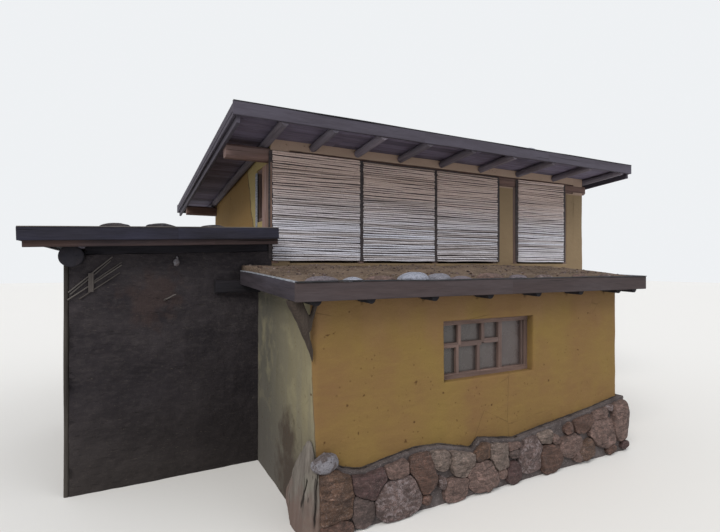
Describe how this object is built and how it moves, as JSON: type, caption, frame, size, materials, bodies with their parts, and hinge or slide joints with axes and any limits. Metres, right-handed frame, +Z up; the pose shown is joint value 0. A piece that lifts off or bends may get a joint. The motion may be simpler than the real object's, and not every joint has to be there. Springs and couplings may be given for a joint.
{
  "type": "adobe house",
  "caption": "Adobe house with a low yellow annex on a rubble plinth, a dark mud block and cane-screened upper storey, under flat living roofs.",
  "frame": {"origin": "centre of the outline's box on the ground", "axes": "+Z up, -Y out of the annex front with its window, +X to the right seen from the front"},
  "size_m": [10.851, 8.23, 5.1648],
  "materials": {
    "yellow_plaster": "matte lime and earth plaster, trowelled by hand",
    "mud_plaster": "rough dark mud plaster",
    "rubble_stone": "pink granite rubble in grey mortar",
    "pale_stone": "weathered pale render",
    "earth_floor": "beaten earth",
    "roof_soil": "dry gravelly soil",
    "painted_timber": "brown stained timber",
    "fascia_board": "dark stained boards",
    "roof_board": "dark rough boards",
    "log": "peeled brown log",
    "weathered_wood": "grey weathered wood",
    "cane": "dry grey cane",
    "window_glass": "plain dusty glass"
  },
  "bodies": {
    "root": {"earth_floors": "earth_floor", "annex_front_wall": "yellow_plaster", "annex_left_wall": "yellow_plaster", "annex_right_wall": "yellow_plaster", "stone_plinth": "rubble_stone", "corner_buttress": "pale_stone", "window_frame": "painted_timber", "window_glass": "window_glass", "annex_roof_logs": "log", "annex_roof_boards": "roof_board", "annex_front_fascia": "fascia_board", "annex_side_fascias": "fascia_board", "annex_soil": "roof_soil", "corner_brace": "weathered_wood", "mud_front_wall": "mud_plaster", "mud_left_wall": "mud_plaster", "mud_back_wall": "mud_plaster", "mud_corner_post": "weathered_wood", "mud_side_log": "log", "cane_lath": "cane", "mud_roof_timbers": "log", "mud_roof_boards": "roof_board", "mud_long_fascias": "fascia_board", "mud_left_fascia": "fascia_board", "mud_soil": "roof_soil", "main_front_wall": "yellow_plaster", "main_left_wall": "yellow_plaster", "main_right_wall": "yellow_plaster", "main_back_wall": "yellow_plaster", "upper_back_wall": "yellow_plaster", "upper_back_piers": "yellow_plaster", "back_door": "painted_timber", "back_door_frame": "painted_timber", "upper_floor": "roof_board", "gallery_posts": "painted_timber", "cane_screen_1": "cane", "cane_screen_2": "cane", "cane_screen_3": "cane", "cane_screen_4": "cane", "upper_front_piers": "yellow_plaster", "upper_window_frames": "painted_timber", "upper_window_glass": "window_glass", "front_wall_plate": "log", "back_wall_plate": "log", "main_roof_logs": "log", "eaves_plaster": "yellow_plaster", "main_roof_boards": "roof_board", "main_front_fascia": "fascia_board", "main_side_fascias": "fascia_board", "main_back_fascia": "fascia_board", "main_soil": "roof_soil"}
  },
  "joints": []
}
